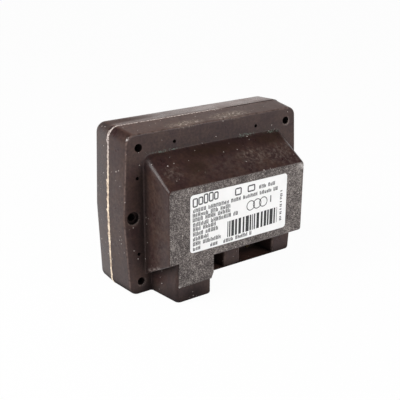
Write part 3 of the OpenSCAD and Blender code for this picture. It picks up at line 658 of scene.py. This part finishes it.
# %% Film and ink shaders
GLUE_WAVE_MM = 7.0
RIBBON_PATCH_MM = 1.2
IOR_POLYESTER = 1.57
film, tree, shader = new_material("white_polyester_film")
place = add(tree, "TexCoord").outputs["Object"]
waves = add(tree, "TexNoise", {"Vector": place, "Scale": per_mm(GLUE_WAVE_MM), "Detail": 2.0})
tint = add(tree, "Mix", {
    "Factor": waves.outputs[0], "A": linear("#f0efee"), "B": linear("#fbfafa")}, data_type="RGBA")
tree.links.new(tint.outputs["Result"], shader.inputs["Base Color"])
shader.inputs["Roughness"].default_value = 0.45
shader.inputs["IOR"].default_value = IOR_POLYESTER
bump = add(tree, "Bump", {"Height": waves.outputs[0], "Strength": 0.15, "Distance": 0.1 * MM})
tree.links.new(bump.outputs["Normal"], shader.inputs["Normal"])

ink, tree, shader = new_material("ribbon_ink")
place = add(tree, "TexCoord").outputs["Object"]
patchy = add(tree, "TexNoise", {"Vector": place, "Scale": per_mm(RIBBON_PATCH_MM), "Detail": 3.0})
tone = add(tree, "Mix", {
    "Factor": patchy.outputs[0], "A": linear("#0d0d0e"), "B": linear("#2a2a2c")}, data_type="RGBA")
tree.links.new(tone.outputs["Result"], shader.inputs["Base Color"])
shader.inputs["Roughness"].default_value = 0.5
print("label finishes:", film.name, ink.name)

# %% Make the film
label_mid = ((label_low.x + label_high.x) / 2, (label_low.z + label_high.z) / 2)
label_size = (label_high.x - label_low.x, label_high.z - label_low.z)
inner_size = [s - 2 * FILM_EDGE for s in label_size]
work = bmesh.new()
stack(work, [(rounded(label_mid, label_size, CORNER_R), label_high.y),
             (rounded(label_mid, label_size, CORNER_R), film_front + FILM_EDGE / 2),
             (rounded(label_mid, inner_size, CORNER_R - FILM_EDGE), film_front)])
bmesh.ops.recalc_face_normals(work, faces=work.faces)
label_film = finish_piece(work, "label_film", [film])
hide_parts("rating_label")

# %% [markdown]
# ## The print on the label
# The print is kept plain: rows of short strokes stand for lines of type, with a block of bars and the
# three rings of the transformer sign. The rows stand a little askew on the film, as the real ones do. The
# marks are tiny slabs, because geometry keeps them crisp in any view and in the exported model. All
# places are in millimetres from the middle of the label.


# %% Slabs and outlines
PRINT_TILT = 0.022      # rise of the print per millimetre to the right


def on_label(x, z):
    """Place on the label of a printed point, with the print a little askew."""
    return label_mid[0] + x * MM, label_mid[1] + (z + PRINT_TILT * x) * MM


def slab(work, x0, x1, z0, z1):
    """A flat mark between two corners, in millimetres from the middle of the label."""
    points = [on_label(x, z) for x, z in ((x0, z0), (x1, z0), (x1, z1), (x0, z1))]
    stack(work, [(points, film_front), (points, label_low.y)])


def outline(work, outer, inner):
    """A flat mark between two closed lines with as many points."""
    rings = ((outer, film_front), (outer, label_low.y), (inner, label_low.y), (inner, film_front))
    rows = [[work.verts.new((x, y, z)) for x, z in (on_label(*point) for point in points)]
            for points, y in rings]
    for low, high in zip(rows, rows[1:] + rows[:1]):
        walls(work, low, high)


print("print tilt:", round(math.degrees(math.atan(PRINT_TILT)), 2), "degrees")

# %% [markdown]
# Two strokes with a short bar between them look like type from afar and say nothing. The pairs stand in
# words of three to eight, and a seeded generator varies them in the same way in each run.

# %% Rows of strokes
ROWS = (  # left end, right end, height of the line, height of the strokes
    (-32.0, 27.8, 8.4, 2.2), (-32.2, -6.6, 5.8, 2.4), (-32.2, -6.8, 3.2, 2.4),
    (-32.0, -1.0, 0.3, 2.4), (-32.0, -15.8, -2.3, 2.4), (-32.0, -13.6, -5.1, 2.4),
    (-32.0, -20.4, -7.9, 2.4), (-32.0, -13.4, -10.8, 2.4), (-32.0, -27.2, -13.7, 2.2),
    (-20.4, -14.8, -14.1, 2.1), (-11.4, 8.8, -14.4, 2.2), (13.1, 25.4, 12.0, 2.2))
STROKE = 0.5
STROKE_TALL = (1.0, 1.0, 0.9, 0.72)     # heights of a stroke as shares of the row
PAIR_WIDE = (0.72, 0.92)                # distance between the two strokes of a pair
BAR_AT = (0.05, 0.4, 0.7)               # places of the bar between them
BAR_T = 0.3
PAIR_STEP, WORD_STEP = 1.75, 3.1
WORD_LENGTH = (3, 8)
ROW_REST = 1.0                          # a row ends when less than this is left


def row_of_strokes(work, x, x1, z, tall, draw):
    """Pairs of upright strokes with a short bar between them, in words."""
    low = z - tall / 2
    word = draw.randint(*WORD_LENGTH)
    while x < x1 - ROW_REST:
        wide = draw.uniform(*PAIR_WIDE)
        for shift in (0.0, wide):
            slab(work, x + shift, x + shift + STROKE, low, low + tall * draw.choice(STROKE_TALL))
        step = low + tall * draw.choice(BAR_AT)
        slab(work, x + STROKE, x + wide, step, step + BAR_T)
        word -= 1
        x += PAIR_STEP if word else WORD_STEP
        word = word or draw.randint(*WORD_LENGTH)


draw = random.Random(7)
work = bmesh.new()
for x0, x1, z, tall in ROWS:
    row_of_strokes(work, x0, x1, z, tall, draw)
print("rows of strokes:", len(ROWS))

# %% [markdown]
# The bars repeat two short lists of widths and gaps, so they hold no code. A line of dashes runs up the
# right margin. The rings and the outlined fields are flat marks between two closed lines.

# %% Bars and dashes
BARS = (-8.8, 27.0, -12.8, -3.3)        # left, right, lower and upper end of the block
BAR_WIDTHS = (0.6, 0.9, 1.9, 1.4, 1.8, 1.2, 2.3, 1.1)
BAR_GAPS = (0.6, 0.65, 0.7, 1.0, 1.2, 0.9)
MARGIN_X, MARGIN_LOW, MARGIN_HIGH = 29.9, -12.2, 6.2
DASH_LEFT, DASH_RIGHT = 0.9, (0.4, 0.9)     # reach of a dash to the left and to the right of its line
DASH_T = 0.6
DASH_STEPS = (1.0, 1.0, 1.8)
x, bars = BARS[0], 0
while x < BARS[1]:
    wide = min(BAR_WIDTHS[bars % len(BAR_WIDTHS)], BARS[1] - x)
    slab(work, x, x + wide, BARS[2], BARS[3])
    x += wide + BAR_GAPS[bars % len(BAR_GAPS)]
    bars += 1
z = MARGIN_LOW
while z < MARGIN_HIGH:
    slab(work, MARGIN_X - DASH_LEFT, MARGIN_X + draw.uniform(*DASH_RIGHT), z, z + DASH_T)
    z += draw.choice(DASH_STEPS)
print("bars:", bars)

# %% Rings and fields
RINGS = ((7.4, 2.3), (12.0, 2.4), (16.5, 2.5))
RING_R, RING_T, RING_STEPS = 3.0, 0.5, 48
SIGN_STROKE = (21.6, 22.3, 1.0, 5.0)    # the upright stroke beside the rings
HEADER = (  # middle, width and height of each outlined field at the upper left
    (-30.6, 12.8, 3.4, 5.2), (-27.0, 13.2, 3.2, 4.6), (-23.6, 13.7, 3.0, 5.6),
    (-20.2, 13.9, 3.2, 5.4), (-16.8, 13.8, 3.0, 4.6))
FIELDS = ((-1.7, 12.7, 4.6, 4.4), (7.5, 12.6, 5.4, 4.0))
FIELD_T, FIELD_R, FIELD_INNER_R, FIELD_STEPS = 0.75, 1.0, 0.1, 4
turns = [math.radians(360 * k / RING_STEPS) for k in range(RING_STEPS)]
for cx, cz in RINGS:
    outer, inner = [
        [(cx + r * math.cos(t), cz + r * math.sin(t)) for t in turns] for r in (RING_R, RING_R - RING_T)]
    outline(work, outer, inner)
slab(work, *SIGN_STROKE)
for x, z, wide, tall in HEADER + FIELDS:
    outline(work, rounded((x, z), (wide, tall), FIELD_R, FIELD_STEPS),
            rounded((x, z), (wide - 2 * FIELD_T, tall - 2 * FIELD_T), FIELD_INNER_R, FIELD_STEPS))
bmesh.ops.recalc_face_normals(work, faces=work.faces)
finish_piece(work, "label_print", [ink])

# %% [markdown]
# ## What is inside
# Nothing of the core and coils shows while the case is closed, but the part may be cut open in a drawing,
# so each piece gets the finish of its own stuff: blue-grey electrical steel in thin plates, glass-filled
# plastic, copper wire wound in layers, tarnished brass contacts, insulated leads and cast resin. They are
# stacked, wound or faintly banded, so one shader with a wave texture serves them all.

# %% Shaders for the inner pieces
WAVE_RADIANS = 20       # the wave texture runs through this many radians per unit of its scale
CLOUD_MM = 6.0


def layered(name, low, high, axis, pitch, metallic, roughness, depth):
    """A stuff made of thin layers or turns along one axis, each a pitch in millimetres thick."""
    material, tree, shader = new_material(name)
    place = add(tree, "TexCoord").outputs["Object"]
    bands = add(tree, "TexWave", {
        "Vector": place, "Scale": per_mm(pitch) / WAVE_RADIANS * math.pi, "Distortion": 0.4, "Detail": 2.0},
        bands_direction=axis)
    cloud = add(tree, "TexNoise", {"Vector": place, "Scale": per_mm(CLOUD_MM), "Detail": 4.0})
    share = add(tree, "Math", {0: bands.outputs["Fac"], 1: cloud.outputs[0]}, operation="MULTIPLY")
    tone = add(tree, "Mix", {
        "Factor": share.outputs[0], "A": linear(low), "B": linear(high)}, data_type="RGBA")
    tree.links.new(tone.outputs["Result"], shader.inputs["Base Color"])
    worn = add(tree, "MapRange", {
        "Value": cloud.outputs[0], "To Min": roughness - 0.08, "To Max": roughness + 0.1})
    tree.links.new(worn.outputs[0], shader.inputs["Roughness"])
    shader.inputs["Metallic"].default_value = metallic
    bump = add(tree, "Bump", {"Height": bands.outputs["Fac"], "Strength": depth, "Distance": 0.1 * MM})
    tree.links.new(bump.outputs["Normal"], shader.inputs["Normal"])
    return material


# Stamped plates half a millimetre thick, whose edges make fine blue-grey lines.
steel = layered("electrical_steel", "#4c5056", "#8b9096", "Y", 0.5, 1.0, 0.42, 0.5)
# Turns of wire under a clear enamel, which makes them glossy and a deep red-brown.
copper = layered("enamelled_copper_wire", "#7a3d1c", "#c8814e", "X", 0.4, 1.0, 0.32, 0.6)
# Turned and stamped contacts that have gone dark, with faint tool marks.
brass = layered("tarnished_brass", "#2a231a", "#40351f", "Y", 0.3, 1.0, 0.45, 0.15)
# Moulded plastic, cream and half matt, with slow streaks of its filler.
bobbin_plastic = layered("glass_filled_polyamide", "#b8ae98", "#d8cfba", "Z", 3.0, 0.0, 0.5, 0.1)
# Brown filling, smooth as it was poured, with broad bands where the filler settled.
potting = layered("cast_resin", "#5e4a33", "#8a7050", "Z", 12.0, 0.0, 0.35, 0.1)
print("inner finishes:", steel.name, copper.name, brass.name, bobbin_plastic.name, potting.name)

# %% [markdown]
# The leads are told apart by the colours of their sleeves: red for high tension, and brown, blue and
# green for line, neutral and earth. Each node then gets its finish by a word in its name.

# %% Leads and who gets what
SLEEVES = {"ht_lead": "#8e2b22", "line_lead": "#4a2f22", "neutral_lead": "#2f5d92", "earth_lead": "#5b8a35"}
finishes = {
    "core_": steel, "shunt_": steel, "winding": copper, "earth_link": copper, "bobbin": bobbin_plastic,
    "ht_pin": brass, "_tab": brass, "potting_compound": potting, "rating_label": film}
for key, colour in SLEEVES.items():
    finishes[key] = layered("sleeve_" + key, colour, colour, "Z", 1.5, 0.0, 0.45, 0.1)
dressed = 0
for name, solid in nodes.items():
    for key, finish in finishes.items():
        if key in name:
            solid.data.materials[0] = finish
            dressed += 1
print("dressed:", dressed, "of", len(nodes), "nodes here")

# %% [markdown]
# ## Floor and light
# The part stands on white paper in a pale room. Paper that is only lit never comes out quite white, so
# the camera and the reflections see it almost as its own light, and a little of the contact shadow stays.

# %% White paper
FLOOR_HALF = 4.0
FLOOR_DROP = 0.0002     # a gap that keeps the paper and the standing face apart
OWN_LIGHT = 0.97        # share of the paper that looks white by itself
work = bmesh.new()
corners = ((-1, -1), (1, -1), (1, 1), (-1, 1))
work.faces.new([work.verts.new((x * FLOOR_HALF, y * FLOOR_HALF, 0)) for x, y in corners])
mesh = bpy.data.meshes.new("paper_floor")
work.to_mesh(mesh)
work.free()
floor = bpy.data.objects.new("paper_floor", mesh)
bpy.context.collection.objects.link(floor)
floor.location.z = -FLOOR_DROP
paper, tree, shader = new_material("white_paper")
shader.inputs["Base Color"].default_value = linear("#fafafa")
shader.inputs["Roughness"].default_value = 0.9
seen = add(tree, "LightPath")
plain = add(tree, "Math", {
    0: seen.outputs["Is Camera Ray"], 1: seen.outputs["Is Glossy Ray"]}, operation="MAXIMUM")
plain = add(tree, "Math", {0: plain.outputs[0], 1: seen.outputs["Is Transmission Ray"]}, operation="MAXIMUM")
share = add(tree, "Math", {0: plain.outputs[0], 1: OWN_LIGHT}, operation="MULTIPLY")
glow = add(tree, "Emission", {"Color": (1, 1, 1, 1), "Strength": 1.0})
both = add(tree, "MixShader", {0: share.outputs[0], 1: shader.outputs[0], 2: glow.outputs[0]})
tree.links.new(both.outputs[0], tree.nodes["Material Output"].inputs["Surface"])
mesh.materials.append(paper)
print("floor:", 2 * FLOOR_HALF, "m wide")

# %% [markdown]
# The room is bright near the horizon and dark overhead, as round a photo table, which gives the satin
# sides and the top their pale sheen and leaves the sloped roof and the round corners dark. Its bright
# band leans, so that it reaches higher on the right.

# %% Pale room
ROOM_LOW, ROOM_HIGH = 4, 31     # degrees above the horizon between which the room darkens
ROOM_UP = (-0.12, 0, 1)         # the way up, which leans a little to the left
ROOM_DARK = 0.12                # light of the room overhead, where the horizon has 1
world = bpy.data.worlds.new("pale_room")
bpy.context.scene.world = world
world.use_nodes = True
tree = world.node_tree
ways = add(tree, "TexCoord").outputs["Generated"]
up = add(tree, "VectorMath", {0: ways, 1: ROOM_UP}, operation="DOT_PRODUCT").outputs["Value"]
level = add(tree, "MapRange", {
    "Value": up, "From Min": math.sin(math.radians(ROOM_LOW)), "From Max": math.sin(math.radians(ROOM_HIGH)),
    "To Min": 1.0, "To Max": ROOM_DARK}, interpolation_type="SMOOTHSTEP")
tree.links.new(level.outputs[0], tree.nodes["Background"].inputs["Strength"])
tree.nodes["Background"].inputs["Color"].default_value = (1, 1, 1, 1)
print("room:", world.name)

# %% [markdown]
# Two soft lamps do the rest. The left one stands high and shines on the left sides and the top, and the
# front one lifts the label and the grained front.

# %% Soft lamps
LAMPS = (   # name, place, size, watts
    ("left_lamp", (-0.48, 0.06, 0.5), 0.35, 3.4), ("front_lamp", (0.35, -0.85, 0.2), 0.6, 5.0))
LIT = Vector((0, 0, 0.045))     # the middle of the part, which both lamps look at
for name, place, size, watts in LAMPS:
    data = bpy.data.lights.new(name, "AREA")
    data.size = size
    data.energy = watts
    lamp = bpy.data.objects.new(name, data)
    lamp.location = place
    lamp.rotation_euler = (LIT - Vector(place)).to_track_quat("-Z", "Y").to_euler()
    bpy.context.collection.objects.link(lamp)

# %% [markdown]
# ## The camera
# The place and the angles come from a fit of the solids' corners to the photograph: the part is seen from
# its left front, about twenty degrees from above, through a long lens.

# %% Camera
CAMERA_AT = (-0.252057, -0.340774, 0.202676)
SENSOR_MM, LENS_MM = 36, 69.92
camera_data = bpy.data.cameras.new("camera")
camera_data.sensor_width = SENSOR_MM
camera_data.lens = LENS_MM
camera = bpy.data.objects.new("camera", camera_data)
right = Vector((0.81421, -0.58054, 0.00609))
upward = Vector((0.19919, 0.28918, 0.93632))
back = -Vector((0.54533, 0.76115, -0.35109))
turned = Matrix((right, upward, back)).transposed().to_4x4()
camera.matrix_world = Matrix.Translation(CAMERA_AT) @ turned
bpy.context.collection.objects.link(camera)
bpy.context.scene.camera = camera
bpy.context.scene.view_settings.view_transform = "Standard"
print("camera at", [round(c, 3) for c in camera.location])
